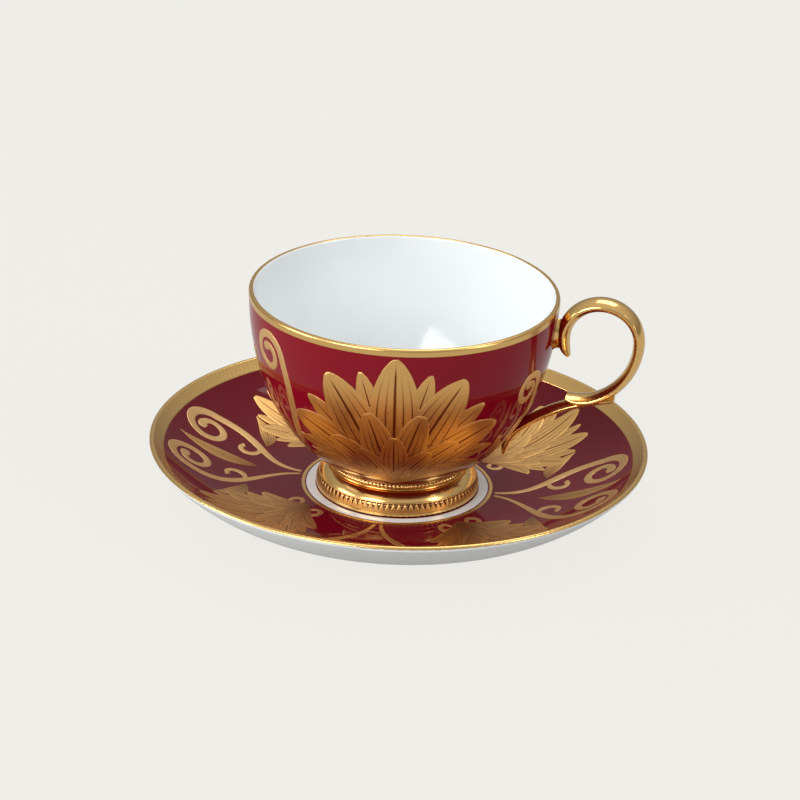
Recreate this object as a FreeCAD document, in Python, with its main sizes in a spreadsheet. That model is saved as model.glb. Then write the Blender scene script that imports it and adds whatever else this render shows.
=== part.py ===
import FreeCAD, Part
import math
import os
import Sketcher
from FreeCAD import Placement, Rotation, Vector

# A footed teacup with a scrolled handle, standing on its saucer. Millimetres, +Z up.
# The origin is at the middle of the saucer's foot ring, on the table; the handle points along +X.

SIZES = {
    # Saucer: radii from the axis, heights from the table.
    "saucer_radius": 77.0,
    "saucer_height": 21.8,
    "saucer_lip": 0.85,
    "seat_radius": 38.0,
    "seat_height": 6.5,
    "seat_thickness": 3.4,
    "ring_radius": 40.5,
    "ring_width": 2.6,
    "ring_lean": 0.4,
    "ring_round": 0.4,
    "underside_bow": 3.9727,
    # Cup: heights from its own foot.
    "rim_radius": 47.3,
    "cup_height": 64.8,
    "wall": 1.6,
    "shoulder_turn": 19.7,
    "belly_bend": 53.9,
    "floor_height": 9.8,
    "floor_bend": 14.0,
    # Pedestal foot under the bowl.
    "foot_radius": 25.2,
    "foot_round": 0.6,
    "foot_edge": 1.2,
    "dome_bend": 6.6,
    "dome_height": 7.0,
    "bead_round": 0.4,
    "neck_radius": 20.9,
    "neck_height": 8.7,
    "hollow_radius": 21.6,
    "hollow_top": 17.6,
    "hollow_depth": 6.2,
    # Handle: a scroll drawn with three arcs, a strut that ends in a tail, and a web at the rim.
    "scroll_gap": 2.1,
    "scroll_radius": 11.5,
    "scroll_drop": 9.4,
    "scroll_start": 213.0,
    "sweep_bend": 21.3,
    "sweep_end": 58.0,
    "curl_bend": 15.6,
    "curl_end": 101.0,
    "strap_width": 7.8,
    "strap_thickness": 3.5,
    "crown_thickness": 4.3,
    "strap_edge": 0.8,
    "heel_place": 52.0,
    "heel_reach": 2.9,
    "strut_height": 24.6,
    "strut_proud": 1.1,
    "strut_bend": 52.0,
    "strut_width": 6.4,
    "strut_thickness": 3.3,
    "strut_edge": 0.4,
    "tail_bend": 14.5,
    "tail_turn": 47.0,
    "web_height": 9.4,
    "web_thickness": 4.6,
    "web_rise": 0.6,
    "web_flare": 1.22,
}

# How the straps fill out from their tips: the length over which they grow, and the share at the tip.
SPUR_TIP = {"thick": (3.0, 0.3), "wide": (3.0, 0.3)}
CURL_TIP = {"thick": (1.8, 0.6), "wide": (2.0, 0.75)}
HEEL_TIP = {"thick": (4.0, 0.55), "wide": (3.0, 0.6)}
TAIL_TIP = {"thick": (4.0, 0.3), "wide": (5.0, 0.3)}
# Most length of strap from one section to the next: along the scroll, the strut and its tail.
SCROLL_STEP, STRUT_STEP, TAIL_STEP = 5.3, 5.1, 2.6
# Where the web is narrowest, as a share of its length from the wall.
WEB_WAIST = 0.55

START, END, MIDDLE = 1, 2, 3
ORIGIN, ACROSS, UPRIGHT = -1, -1, -2

doc = FreeCAD.newDocument("Teacup_and_saucer")
sheet = doc.addObject("Spreadsheet::Sheet", "Sizes")
for row, (alias, value) in enumerate(SIZES.items(), start=1):
    sheet.set(f"A{row}", alias)
    sheet.set(f"B{row}", str(value))
    sheet.setAlias(f"B{row}", alias)
doc.recompute()


def size(alias):
    """A driving dimension, read back from the sheet."""
    return float(sheet.get(alias))


def polar(centre, radius, degrees):
    """The point at a distance and direction from a centre."""
    angle = math.radians(degrees)
    return Vector(centre.x + radius * math.cos(angle), centre.y + radius * math.sin(angle), 0)


def direction(start, end):
    """The direction from one point to another, in degrees."""
    return math.degrees(math.atan2(end.y - start.y, end.x - start.x))


def arc_centre(start, end, radius):
    """The centre, left of the way from start to end, of the arc of this radius between them."""
    chord = end - start
    rise = math.sqrt(max(radius**2 - chord.Length**2 / 4, 0.0))
    left = Vector(-chord.y, chord.x, 0).normalize()
    return (start + end) * 0.5 + left * rise


class Outline:
    """One sketch: edges that follow one another, with every size bound to the sheet."""

    def __init__(self, body, name, role, placement=None):
        self.sketch = body.newObject("Sketcher::SketchObject", name)
        plane = next(item for item in body.Origin.OriginFeatures if item.Role == role)
        self.sketch.AttachmentSupport = [(plane, "")]
        self.sketch.MapMode = "FlatFace"
        if placement:
            self.sketch.AttachmentOffset = placement
        self.edges = []

    def line(self, start, end):
        """A straight edge."""
        index = self.sketch.addGeometry(Part.LineSegment(start, end), False)
        self.edges.append((index, START, END))
        return index

    def arc(self, centre, start, end, left=True):
        """A round edge about a centre, which turns left or right on its way from start to end."""
        radius = (start - centre).Length
        circle = Part.Circle(centre, Vector(0, 0, 1), radius)
        first, last = (start, end) if left else (end, start)
        angles = [math.radians(direction(centre, point)) for point in (first, last)]
        if angles[1] < angles[0]:
            angles[1] += 2 * math.pi
        index = self.sketch.addGeometry(Part.ArcOfCircle(circle, *angles), False)
        self.edges.append((index, START, END) if left else (index, END, START))
        return index

    def chain(self, smooth=()):
        """Joins each edge to the next and the last to the first, tangent at the named edges' ends."""
        for number, (index, _, leave) in enumerate(self.edges):
            following, arrive, _ = self.edges[(number + 1) % len(self.edges)]
            kind = "Tangent" if index in smooth else "Coincident"
            self.sketch.addConstraint(Sketcher.Constraint(kind, index, leave, following, arrive))

    def rule(self, kind, *where):
        """A constraint without a size."""
        self.sketch.addConstraint(Sketcher.Constraint(kind, *where))

    def measure(self, kind, *where, formula):
        """A constraint whose size is a formula of the sheet's cells."""
        now = self.value_of(kind, *where)
        number = self.sketch.addConstraint(Sketcher.Constraint(kind, *where, now))
        name = f"size_{number}"
        self.sketch.renameConstraint(number, name)
        self.sketch.setExpression(f"Constraints.{name}", formula)

    def value_of(self, kind, *where):
        """The present size of what a constraint measures, as drawn."""
        shape = self.sketch.Geometry[where[0]]
        if kind == "Radius":
            return shape.Radius
        if kind == "Angle":
            return shape.LastParameter - shape.FirstParameter
        point = self.sketch.getPoint(where[-2], where[-1])
        return point.x if kind == "DistanceX" else point.y

    def place(self, edge, end, across=None, up=None):
        """Fixes one end of an edge, or its middle, at a distance across and up from the origin."""
        for kind, axis, formula in (("DistanceX", UPRIGHT, across), ("DistanceY", ACROSS, up)):
            if formula == "0":
                self.rule("PointOnObject", edge, end, axis)
            elif formula:
                self.measure(kind, ORIGIN, START, edge, end, formula=formula)


def revolve(body, outline, name):
    """Turns an outline once round the upright axis."""
    solid = body.newObject("PartDesign::Revolution", name)
    solid.Profile = outline.sketch
    solid.ReferenceAxis = (outline.sketch, ["V_Axis"])
    solid.Angle = 360.0
    return solid


def saucer_outline(body):
    """Half the saucer's section: flat seat, dished flange, round lip, bowed underside, foot ring."""
    lip, seat_z = size("saucer_lip"), size("seat_height")
    lip_centre = Vector(size("saucer_radius") - lip, size("saucer_height") - lip, 0)
    seat_end = Vector(size("seat_radius"), seat_z, 0)
    span, rise = lip_centre.x - seat_end.x, lip_centre.y - seat_end.y
    dish_bend = (span**2 + rise**2 - lip**2) / (2 * (rise + lip))
    dish_centre = Vector(seat_end.x, seat_z + dish_bend, 0)
    dish_end = polar(lip_centre, lip, direction(lip_centre, dish_centre))

    under_z = seat_z - size("seat_thickness")
    ring_out, ring_in = size("ring_radius"), size("ring_radius") - size("ring_width")
    lean, edge_round = size("ring_lean"), size("ring_round")
    ring_top = Vector(ring_out, under_z, 0)
    apart, bow = (lip_centre - ring_top).Length, size("underside_bow")
    bend = (apart**2 / 4 + bow**2) / (2 * bow)
    # Triangle of the ring's top, the lip's centre and the underside's centre.
    corner = math.acos((bend**2 + apart**2 - (bend - lip) ** 2) / (2 * bend * apart))
    under_centre = polar(ring_top, bend, direction(ring_top, lip_centre) + math.degrees(corner))
    under_end = polar(lip_centre, lip, direction(under_centre, lip_centre))

    out = Outline(body, "SaucerSection", "XZ_Plane")
    seat = out.line(Vector(0, seat_z, 0), seat_end)
    dish = out.arc(dish_centre, seat_end, dish_end)
    rim = out.arc(lip_centre, dish_end, under_end, left=False)
    under = out.arc(under_centre, under_end, ring_top, left=False)
    outer = out.line(ring_top, Vector(ring_out - lean, edge_round, 0))
    tread_out, tread_in = ring_out - lean - edge_round, ring_in + lean + edge_round
    outer_round = out.arc(
        Vector(tread_out, edge_round, 0),
        Vector(ring_out - lean, edge_round, 0),
        Vector(tread_out, 0, 0),
        left=False,
    )
    tread = out.line(Vector(tread_out, 0, 0), Vector(tread_in, 0, 0))
    inner_round = out.arc(
        Vector(tread_in, edge_round, 0),
        Vector(tread_in, 0, 0),
        Vector(ring_in + lean, edge_round, 0),
        left=False,
    )
    inner = out.line(Vector(ring_in + lean, edge_round, 0), Vector(ring_in, under_z, 0))
    floor = out.line(Vector(ring_in, under_z, 0), Vector(0, under_z, 0))
    out.line(Vector(0, under_z, 0), Vector(0, seat_z, 0))
    out.chain(smooth=(seat, dish, rim))

    under_formula = "(Sizes.seat_height - Sizes.seat_thickness)"
    out.place(seat, START, "0", "Sizes.seat_height")
    out.place(seat, END, "Sizes.seat_radius")
    out.rule("Horizontal", seat)
    lip_across, lip_up = (f"Sizes.saucer_{way} - Sizes.saucer_lip" for way in ("radius", "height"))
    out.place(rim, MIDDLE, lip_across, lip_up)
    out.measure("Radius", rim, formula="Sizes.saucer_lip")
    apart_square = f"(({lip_across} - Sizes.ring_radius)^2 + ({lip_up} - {under_formula})^2)"
    bow_formula = f"({apart_square} / 4 + Sizes.underside_bow^2) / (2 * Sizes.underside_bow)"
    out.measure("Radius", under, formula=bow_formula)
    out.place(outer, START, "Sizes.ring_radius", under_formula)
    out.place(outer, END, "Sizes.ring_radius - Sizes.ring_lean", "Sizes.ring_round")
    out.place(tread, START, "Sizes.ring_radius - Sizes.ring_lean - Sizes.ring_round", "0")
    ring_inside = "Sizes.ring_radius - Sizes.ring_width"
    out.place(tread, END, f"{ring_inside} + Sizes.ring_lean + Sizes.ring_round", "0")
    out.measure("Radius", outer_round, formula="Sizes.ring_round")
    out.place(inner, START, f"{ring_inside} + Sizes.ring_lean", "Sizes.ring_round")
    out.measure("Radius", inner_round, formula="Sizes.ring_round")
    out.place(floor, START, ring_inside, under_formula)
    out.place(floor, END, "0", under_formula)
    return out


def bowl_arcs():
    """Centres and radii of the two tangent arcs of the bowl's outer wall, from the rim to the neck."""
    turn = math.radians(size("shoulder_turn"))
    back, drop = 1 - math.cos(turn), math.sin(turn)
    belly = size("belly_bend")
    rim_z = size("cup_height") - size("wall") / 2
    aside = size("neck_radius") - size("rim_radius") + belly
    below = size("neck_height") - rim_z
    # The belly arc ends on the neck, which gives how much larger the wall arc's radius is.
    square = back**2 + drop**2
    middle = aside * back + below * drop
    extra = (-middle - math.sqrt(middle**2 - square * (aside**2 + below**2 - belly**2))) / square
    wall_centre = Vector(size("rim_radius") - belly - extra, rim_z, 0)
    belly_centre = polar(wall_centre, extra, -size("shoulder_turn"))
    return wall_centre, belly + extra, belly_centre, belly


def bowl_radius(height):
    """Outer radius of the bowl at a height over the foot."""
    wall_centre, wall_bend, belly_centre, belly = bowl_arcs()
    meeting = polar(wall_centre, wall_bend, -size("shoulder_turn"))
    centre, bend = (wall_centre, wall_bend) if height > meeting.y else (belly_centre, belly)
    return centre.x + math.sqrt(bend**2 - (height - centre.y) ** 2)


def cup_outline(body):
    """Half the cup's section: hollow foot, domed pedestal, bead and neck, bowl, round lip, inside."""
    wall = size("wall")
    wall_centre, wall_bend, belly_centre, belly = bowl_arcs()
    turn = -size("shoulder_turn")
    meet_out, meet_in = (polar(wall_centre, wall_bend - depth, turn) for depth in (0, wall))
    rim_out = Vector(size("rim_radius"), wall_centre.y, 0)
    rim_in = Vector(size("rim_radius") - wall, wall_centre.y, 0)
    neck, bead = size("neck_radius"), size("bead_round")
    neck_top = Vector(neck, size("neck_height"), 0)

    floor_z, floor_bend = size("floor_height"), size("floor_bend")
    below = belly_centre.y - floor_z - floor_bend
    floor_x = belly_centre.x + math.sqrt((belly - wall - floor_bend) ** 2 - below**2)
    floor_centre = Vector(floor_x, floor_z + floor_bend, 0)
    floor_meet = polar(floor_centre, floor_bend, direction(belly_centre, floor_centre))

    foot, foot_round, foot_edge = size("foot_radius"), size("foot_round"), size("foot_edge")
    dome_bend, dome_z = size("dome_bend"), size("dome_height")
    dome_centre = Vector(foot - dome_bend, foot_edge, 0)
    dome_x = dome_centre.x + math.sqrt(dome_bend**2 - (dome_z - foot_edge) ** 2)
    hollow_z = size("hollow_depth")

    out = Outline(body, "CupSection", "XZ_Plane")
    ceiling = out.line(Vector(0, hollow_z, 0), Vector(size("hollow_top"), hollow_z, 0))
    hollow = out.line(Vector(size("hollow_top"), hollow_z, 0), Vector(size("hollow_radius"), 0, 0))
    tread = out.line(Vector(size("hollow_radius"), 0, 0), Vector(foot - foot_round, 0, 0))
    toe_centre = Vector(foot - foot_round, foot_round, 0)
    toe = out.arc(toe_centre, Vector(foot - foot_round, 0, 0), Vector(foot, foot_round, 0))
    edge = out.line(Vector(foot, foot_round, 0), Vector(foot, foot_edge, 0))
    dome = out.arc(dome_centre, Vector(foot, foot_edge, 0), Vector(dome_x, dome_z, 0))
    ledge = out.line(Vector(dome_x, dome_z, 0), Vector(neck, dome_z, 0))
    bead_arc = out.arc(
        Vector(neck, dome_z + bead, 0), Vector(neck, dome_z, 0), Vector(neck, dome_z + 2 * bead, 0)
    )
    neck_line = out.line(Vector(neck, dome_z + 2 * bead, 0), neck_top)
    belly_out = out.arc(belly_centre, neck_top, meet_out)
    wall_out = out.arc(wall_centre, meet_out, rim_out)
    lip = out.arc((rim_out + rim_in) * 0.5, rim_out, rim_in)
    wall_in = out.arc(wall_centre, rim_in, meet_in, left=False)
    belly_in = out.arc(belly_centre, meet_in, floor_meet, left=False)
    sag = out.arc(floor_centre, floor_meet, Vector(floor_x, floor_z, 0), left=False)
    floor = out.line(Vector(floor_x, floor_z, 0), Vector(0, floor_z, 0))
    out.line(Vector(0, floor_z, 0), Vector(0, hollow_z, 0))
    out.chain(smooth=(toe, edge, belly_out, wall_out, lip, wall_in, belly_in, sag))

    out.place(ceiling, START, "0", "Sizes.hollow_depth")
    out.place(hollow, START, "Sizes.hollow_top", "Sizes.hollow_depth")
    out.place(tread, START, "Sizes.hollow_radius", "0")
    out.place(tread, END, "Sizes.foot_radius - Sizes.foot_round", "0")
    out.place(toe, MIDDLE, "Sizes.foot_radius - Sizes.foot_round", "Sizes.foot_round")
    out.rule("Vertical", edge)
    out.place(edge, END, up="Sizes.foot_edge")
    out.measure("Radius", dome, formula="Sizes.dome_bend")
    out.place(ledge, START, up="Sizes.dome_height")
    out.place(bead_arc, START, "Sizes.neck_radius", "Sizes.dome_height")
    out.place(bead_arc, MIDDLE, "Sizes.neck_radius", "Sizes.dome_height + Sizes.bead_round")
    out.rule("Vertical", neck_line)
    out.place(neck_line, END, "Sizes.neck_radius", "Sizes.neck_height")
    out.measure("Radius", belly_out, formula="Sizes.belly_bend")
    rim_formula = "Sizes.cup_height - Sizes.wall / 2"
    out.place(wall_out, END, "Sizes.rim_radius", rim_formula)
    out.rule("Coincident", wall_out, MIDDLE, wall_in, MIDDLE)
    out.place(wall_out, MIDDLE, up=rim_formula)
    out.measure("Angle", wall_out, formula="Sizes.shoulder_turn")
    out.place(lip, END, "Sizes.rim_radius - Sizes.wall")
    out.rule("Coincident", belly_out, MIDDLE, belly_in, MIDDLE)
    out.measure("Radius", sag, formula="Sizes.floor_bend")
    out.place(floor, START, up="Sizes.floor_height")
    out.place(floor, END, "0", "Sizes.floor_height")
    return out


def strap_section(body, name, placement, width, thickness, edge):
    """A strap's section: two shallow arcs whose meeting edges are rounded. Sizes are sheet formulas."""
    half_width, half_thick = (size(alias) * share / 2 for alias, share in (width, thickness))
    edge_round = size(edge[0]) * edge[1]
    reach = half_width - edge_round
    bend = (reach**2 + half_thick**2 - edge_round**2) / (2 * (half_thick - edge_round))
    out = Outline(body, name, "XY_Plane", placement)
    centres = [Vector(half_thick - bend, 0, 0), Vector(0, reach, 0)]
    centres += [centre * -1 for centre in centres]
    corners = []
    for across, along in ((1, -1), (1, 1), (-1, 1), (-1, -1)):
        big, small = Vector(across * (half_thick - bend), 0, 0), Vector(0, along * reach, 0)
        corners.append(polar(small, edge_round, direction(big, small)))
    sides = [
        out.arc(centre, corners[number], corners[(number + 1) % 4])
        for number, centre in enumerate(centres)
    ]
    out.chain(smooth=sides)

    wide, thick, round_ = (f"(Sizes.{alias} * {share:.4f})" for alias, share in (width, thickness, edge))
    reach_formula = f"({wide} / 2 - {round_})"
    bend_formula = f"({reach_formula}^2 + {thick}^2 / 4 - {round_}^2) / ({thick} - 2 * {round_})"
    for side in sides[::2]:
        out.measure("Radius", side, formula=bend_formula)
    for side, sign in ((sides[1], ""), (sides[3], "-")):
        out.measure("Radius", side, formula=round_)
        out.place(side, MIDDLE, "0", f"{sign}{reach_formula}")
    return out.sketch


def across_path(point, heading, roll=0.0):
    """Placement of a section square to a path in the XZ plane, whose heading is in degrees over +X."""
    turn = Rotation(Vector(0, 1, 0), 90 - heading)
    return Placement(Vector(point.x, 0, point.y), turn * Rotation(Vector(0, 0, 1), roll))


def loft(body, name, sections):
    """A smooth solid through section sketches in order."""
    solid = body.newObject("PartDesign::AdditiveLoft", name)
    solid.Profile = sections[0]
    solid.Sections = sections[1:]
    solid.Ruled = False
    return solid


def swell(distance, length, least):
    """How full a strap is at a distance from its tip: it grows from least to 1 over about a length."""
    return least + (1 - least) * (1 - math.exp(-distance / length))


def fill(travelled, total, first_tip, last_tip):
    """How full a strap is at a distance along it, with a tip at each end."""
    return swell(travelled, *first_tip) * swell(total - travelled, *last_tip)


def scroll_centre():
    """Centre of the scroll's round part, across and up from the cup's foot."""
    across = size("rim_radius") + size("scroll_gap") + size("scroll_radius")
    return Vector(across, size("cup_height") - size("scroll_drop"), 0)


def sweep_centre():
    """Centre of the larger arc that carries the scroll on down and back under itself."""
    return scroll_centre() + Vector(size("scroll_radius") - size("sweep_bend"), 0, 0)


def curl_centre():
    """Centre of the tighter arc that ends the scroll in its curl."""
    return polar(sweep_centre(), size("sweep_bend") - size("curl_bend"), -size("sweep_end"))


def add_scroll(body):
    """The C scroll: from the spur at the rim, over the top and down to its curled-under end."""
    turns = [size("scroll_start"), 0.0, -size("sweep_end"), -size("curl_end")]
    centres = [scroll_centre(), sweep_centre(), curl_centre()]
    radii = [size("scroll_radius"), size("sweep_bend"), size("curl_bend")]
    stations, gone = [], 0.0
    for centre, radius, begin, stop in zip(centres, radii, turns, turns[1:]):
        length = math.radians(begin - stop) * radius
        steps = math.ceil(length / SCROLL_STEP)
        last = 1 if stop == turns[-1] else 0
        for step in range(steps + last):
            share = step / steps
            stations.append((centre, radius, begin + (stop - begin) * share, gone + length * share))
        gone += length
    sections = []
    for number, (centre, radius, angle, travelled) in enumerate(stations):
        thick = fill(travelled, gone, SPUR_TIP["thick"], CURL_TIP["thick"])
        wide = fill(travelled, gone, SPUR_TIP["wide"], CURL_TIP["wide"])
        # The strap is thickest over its crown; the curl thins from its outer side only.
        crown = math.sin(math.radians(min(max(angle, 0), 90))) ** 2
        extra = size("crown_thickness") / size("strap_thickness") - 1
        lean = (1 - swell(gone - travelled, *CURL_TIP["thick"])) * size("strap_thickness") / 2
        place = across_path(polar(centre, radius - lean, angle), angle - 90)
        full = thick * (1 + extra * crown)
        shares = (("strap_width", wide), ("strap_thickness", full), ("strap_edge", thick))
        sections.append(strap_section(body, f"Scroll{number}", place, *shares))
    return loft(body, "Scroll", sections)


def add_strut(body):
    """The strut: from its heel behind the scroll, along to the bowl's wall, and down into the tail."""
    heel = polar(sweep_centre(), size("sweep_bend") + size("heel_reach"), -size("heel_place"))
    height = size("strut_height")
    landing = Vector(bowl_radius(height) + size("strut_proud"), height, 0)
    bend, tail_bend = size("strut_bend"), size("tail_bend")
    centre = arc_centre(heel, landing, bend)
    first, last = direction(centre, heel), direction(centre, landing)
    tail_centre = polar(centre, bend - tail_bend, last)
    along = math.radians(last - first) * bend
    tail_length = math.radians(size("tail_turn")) * tail_bend
    along_steps, tail_steps = math.ceil(along / STRUT_STEP), math.ceil(tail_length / TAIL_STEP)
    angles = [first + (last - first) * step / along_steps for step in range(along_steps)]
    stations = [(centre, bend, angle) for angle in angles]
    tail_angles = [last + size("tail_turn") * step / tail_steps for step in range(tail_steps + 1)]
    stations += [(tail_centre, tail_bend, angle) for angle in tail_angles]
    total = along + tail_length
    sections = []
    for number, (middle, radius, angle) in enumerate(stations):
        begin, done = (first, 0.0) if number < along_steps else (last, along)
        travelled = done + math.radians(angle - begin) * radius
        thick = fill(travelled, total, HEEL_TIP["thick"], TAIL_TIP["thick"])
        wide = fill(travelled, total, HEEL_TIP["wide"], TAIL_TIP["wide"])
        place = across_path(polar(middle, radius, angle), angle + 90)
        shares = (("strut_width", wide), ("strut_thickness", thick), ("strut_edge", thick))
        sections.append(strap_section(body, f"Strut{number}", place, *shares))
    return loft(body, "Strut", sections)


def add_web(body):
    """The short waisted web that holds the scroll to the wall just under the rim."""
    height = scroll_centre().y + size("web_rise")
    inner = bowl_radius(height) - size("wall") / 2
    outer = scroll_centre().x - size("scroll_radius")
    flare = size("web_flare")
    sections = []
    for number, (part, share) in enumerate(((0.0, flare), (WEB_WAIST, 1.0), (1.0, flare))):
        place = across_path(Vector(inner + (outer - inner) * part, height, 0), 0, roll=90)
        sizes = (("web_height", share), ("web_thickness", share), ("strut_edge", 1.0))
        sections.append(strap_section(body, f"Web{number}", place, *sizes))
    return loft(body, "Web", sections)


def make_saucer():
    """The saucer, one turned piece on a foot ring."""
    body = doc.addObject("PartDesign::Body", "Saucer")
    body.Label = "saucer"
    revolve(body, saucer_outline(body), "SaucerTurned")
    return body


def make_teacup():
    """The cup on its pedestal with its handle, all one piece, standing on the saucer's seat."""
    body = doc.addObject("PartDesign::Body", "Teacup")
    body.Label = "teacup"
    revolve(body, cup_outline(body), "CupTurned")
    add_web(body)
    add_scroll(body)
    add_strut(body)
    body.setExpression("Placement.Base.z", "Sizes.seat_height")
    return body


def check(bodies):
    """Stops if any object failed or a sub-part isn't one valid solid."""
    for item in doc.Objects:
        if {"Invalid", "Error"} & set(item.State):
            raise RuntimeError(f"{item.Name} failed: {item.State}")
    for body in bodies:
        shape = body.Shape
        if shape.isNull() or not shape.isValid() or len(shape.Solids) != 1 or shape.Volume <= 0:
            raise RuntimeError(f"{body.Label} isn't one valid solid")


parts = [make_saucer(), make_teacup()]
doc.recompute()
check(parts)
os.makedirs("parts", exist_ok=True)
for part in parts:
    part.Shape.exportStep(f"parts/{part.Label}.step")
    print(part.Label, "volume", round(part.Shape.Volume), "mm3")
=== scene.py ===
import math

import bpy
import numpy as np
from mathutils import Matrix, Vector


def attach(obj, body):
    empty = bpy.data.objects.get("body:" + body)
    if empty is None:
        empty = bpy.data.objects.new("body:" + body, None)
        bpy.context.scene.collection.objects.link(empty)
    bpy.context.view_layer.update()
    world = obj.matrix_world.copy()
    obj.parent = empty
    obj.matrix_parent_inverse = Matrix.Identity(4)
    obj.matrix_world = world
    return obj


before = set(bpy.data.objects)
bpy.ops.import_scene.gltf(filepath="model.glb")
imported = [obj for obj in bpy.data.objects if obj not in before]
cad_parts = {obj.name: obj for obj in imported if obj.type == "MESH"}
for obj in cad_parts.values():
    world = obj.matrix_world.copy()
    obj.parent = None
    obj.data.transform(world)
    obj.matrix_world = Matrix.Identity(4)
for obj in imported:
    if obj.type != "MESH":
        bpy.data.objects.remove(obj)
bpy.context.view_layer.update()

# A gilded china teacup on its saucer. The two pieces and all that lies on them are in millimetres, which
# MM turns into metres; the floor and the lamps are in metres. Angles are degrees from the handle's side.
MM = 0.001
TURN = 2 * math.pi

# ---------------------------------------------------------------- sizes of the two china pieces
SEAT_RADIUS, SEAT_HEIGHT = 38.0, 6.5  # the saucer's flat middle, on which the cup stands
SAUCER_RADIUS, SAUCER_HEIGHT, SAUCER_LIP = 77.0, 21.8, 0.85  # the lip is round, of the last radius
LIP_MIDDLE_RADIUS, LIP_MIDDLE_HEIGHT = SAUCER_RADIUS - SAUCER_LIP, SAUCER_HEIGHT - SAUCER_LIP

CUP_TOP = SEAT_HEIGHT + 64.8
WALL = 1.6  # the cup's lip is round, of half this radius
RIM_RADIUS = 47.3
SHOULDER_TURN = 19.7  # degrees of the wall's upper circle, before the belly's takes over
BELLY_BEND = 53.9  # radius of the belly's circle
NECK_RADIUS, NECK_HEIGHT = 20.9, 8.7  # where the bowl meets its foot
FOOT_RADIUS, FOOT_EDGE, DOME_BEND = 25.2, 1.2, 6.6  # the foot's upright edge, and the dome on it
HOLLOW_RADIUS, HOLLOW_HEIGHT = 21.75, 6.3  # the space under the foot


def bowl_arcs():
    """Circles of the bowl's outer wall in (radius, height over the foot): a wide one from the rim down,
    and the belly's, tangent to it, that ends on the neck. The belly's middle lies off the wide one's, as
    far down as the shoulder's turn; how far off is the root of the square equation that puts the neck on
    the belly's circle."""
    turn = math.radians(SHOULDER_TURN)
    back, drop = 1 - math.cos(turn), math.sin(turn)
    rim_height = CUP_TOP - SEAT_HEIGHT - WALL / 2
    aside = NECK_RADIUS - RIM_RADIUS + BELLY_BEND
    below = NECK_HEIGHT - rim_height
    square = back**2 + drop**2
    middle = aside * back + below * drop
    extra = (-middle - math.sqrt(middle**2 - square * (aside**2 + below**2 - BELLY_BEND**2))) / square
    wide = (RIM_RADIUS - BELLY_BEND - extra, rim_height, BELLY_BEND + extra)
    belly = (wide[0] + extra * math.cos(turn), rim_height - extra * math.sin(turn), BELLY_BEND)
    return wide, belly


WIDE_ARC, BELLY_ARC = bowl_arcs()
MEETING_HEIGHT = WIDE_ARC[1] - WIDE_ARC[2] * math.sin(math.radians(SHOULDER_TURN))


def bowl_wall(height):
    """Outer radius of the bowl at heights over its foot, the circle's middle plus a root, and the two
    parts of the outward normal there: away from the axis, and up."""
    height = np.asarray(height, float)
    middle, level, bend = (
        np.where(height > MEETING_HEIGHT, wide, belly) for wide, belly in zip(WIDE_ARC, BELLY_ARC)
    )
    radius = middle + np.sqrt(np.maximum(bend**2 - (height - level) ** 2, 0))
    return radius, (radius - middle) / bend, (height - level) / bend


# ---------------------------------------------------------------- node groups
def node_group(name, inputs, outputs):
    """An empty shader node group with float inputs (name, value) and float outputs."""
    group = bpy.data.node_groups.new(name, "ShaderNodeTree")
    for label, value in inputs:
        socket = group.interface.new_socket(label, in_out="INPUT", socket_type="NodeSocketFloat")
        socket.default_value = value
    for label in outputs:
        group.interface.new_socket(label, in_out="OUTPUT", socket_type="NodeSocketFloat")
    return group, group.nodes.new("NodeGroupInput"), group.nodes.new("NodeGroupOutput")


def reckon(tree, operation, first, second=None):
    """The result of one Math node in a node tree, from sockets or plain numbers."""
    node = tree.nodes.new("ShaderNodeMath")
    node.operation = operation
    for number, value in enumerate((first, second)):
        if isinstance(value, float):
            node.inputs[number].default_value = value
        elif value is not None:
            tree.links.new(value, node.inputs[number])
    return node.outputs[0]


def surface_wander():
    """Roughness that wanders between two values over the surface, and a height of soft ripples:
    noise on the object's own coordinates, stretched to the two values."""
    group, given, out = node_group(
        "surface_wander", (("Scale", 60.0), ("Low", 0.05), ("High", 0.1)), ("Roughness", "Height")
    )
    place = group.nodes.new("ShaderNodeTexCoord")
    noise = group.nodes.new("ShaderNodeTexNoise")
    noise.inputs["Detail"].default_value = 3.0
    spread = group.nodes.new("ShaderNodeMapRange")
    spread.inputs["From Min"].default_value = 0.3
    spread.inputs["From Max"].default_value = 0.7
    group.links.new(place.outputs["Object"], noise.inputs["Vector"])
    group.links.new(given.outputs["Scale"], noise.inputs["Scale"])
    group.links.new(noise.outputs["Fac"], spread.inputs["Value"])
    group.links.new(given.outputs["Low"], spread.inputs["To Min"])
    group.links.new(given.outputs["High"], spread.inputs["To Max"])
    group.links.new(spread.outputs["Result"], out.inputs["Roughness"])
    group.links.new(noise.outputs["Fac"], out.inputs["Height"])
    return group


def fine_ribs():
    """Height of fine slanted ribs round the axis: the sine of a count of turns, from the angle of the
    object's own coordinates, plus a share of the distance from the origin."""
    group, given, out = node_group("fine_ribs", (("Count", 260.0), ("Slant", 1500.0)), ("Height",))
    place = group.nodes.new("ShaderNodeTexCoord")
    parts = group.nodes.new("ShaderNodeSeparateXYZ")
    far = group.nodes.new("ShaderNodeVectorMath")
    far.operation = "LENGTH"
    for node in (parts, far):
        group.links.new(place.outputs["Object"], node.inputs[0])
    angle = reckon(group, "ARCTAN2", parts.outputs["Y"], parts.outputs["X"])
    around = reckon(group, "MULTIPLY", angle, given.outputs["Count"])
    slanted = reckon(group, "MULTIPLY", far.outputs["Value"], given.outputs["Slant"])
    wave = reckon(group, "SINE", reckon(group, "ADD", around, slanted))
    group.links.new(wave, out.inputs["Height"])
    return group


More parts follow.
